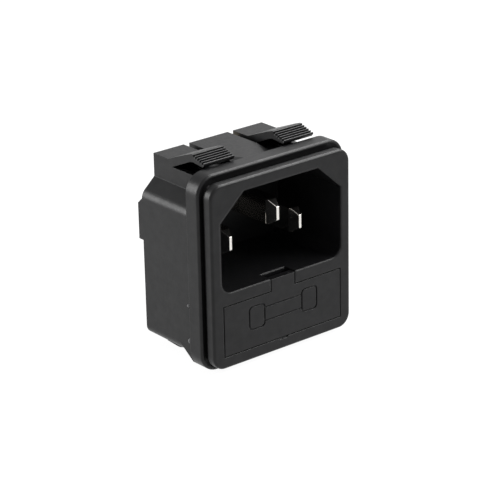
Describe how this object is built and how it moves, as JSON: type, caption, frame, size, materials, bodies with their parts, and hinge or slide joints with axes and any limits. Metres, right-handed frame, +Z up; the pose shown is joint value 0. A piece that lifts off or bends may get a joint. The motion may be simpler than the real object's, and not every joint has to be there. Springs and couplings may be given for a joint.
{
  "type": "power entry module",
  "caption": "Snap-in mains inlet for a panel with three flat pins, two ribbed latch arms, a pull-out fuse drawer with one glass fuse and quick-connect tabs behind.",
  "frame": {"origin": "middle of the panel cut-out, on the face of the flange that rests against the panel", "axes": "+X to the right seen from the front, +Y back into the equipment, +Z up towards the latch arms; the face looks along -Y"},
  "size_m": [0.0292, 0.0266, 0.0334],
  "materials": {
    "housing_plastic": "satin",
    "drawer_plastic": "satin",
    "pin_nickel": "satin",
    "contact_brass": "satin",
    "fuse_glass": "gloss"
  },
  "bodies": {
    "module": {"housing": "housing_plastic", "rear_cover": "housing_plastic", "line_pin": "pin_nickel", "neutral_pin": "pin_nickel", "earth_pin": "pin_nickel", "neutral_lug": "contact_brass", "earth_lug": "contact_brass", "line_link": "contact_brass", "load_spring": "contact_brass"},
    "drawer": {"fuse_drawer": "drawer_plastic", "fuse_tube": "fuse_glass", "fuse_cap_left": "pin_nickel", "fuse_cap_right": "pin_nickel", "fuse_wire": "pin_nickel"}
  },
  "joints": [
    {"name": "drawer_slide", "type": "slide", "parent": "module", "child": "drawer", "axis": [0, -1, 0], "range_m": [0, 0.018]}
  ]
}
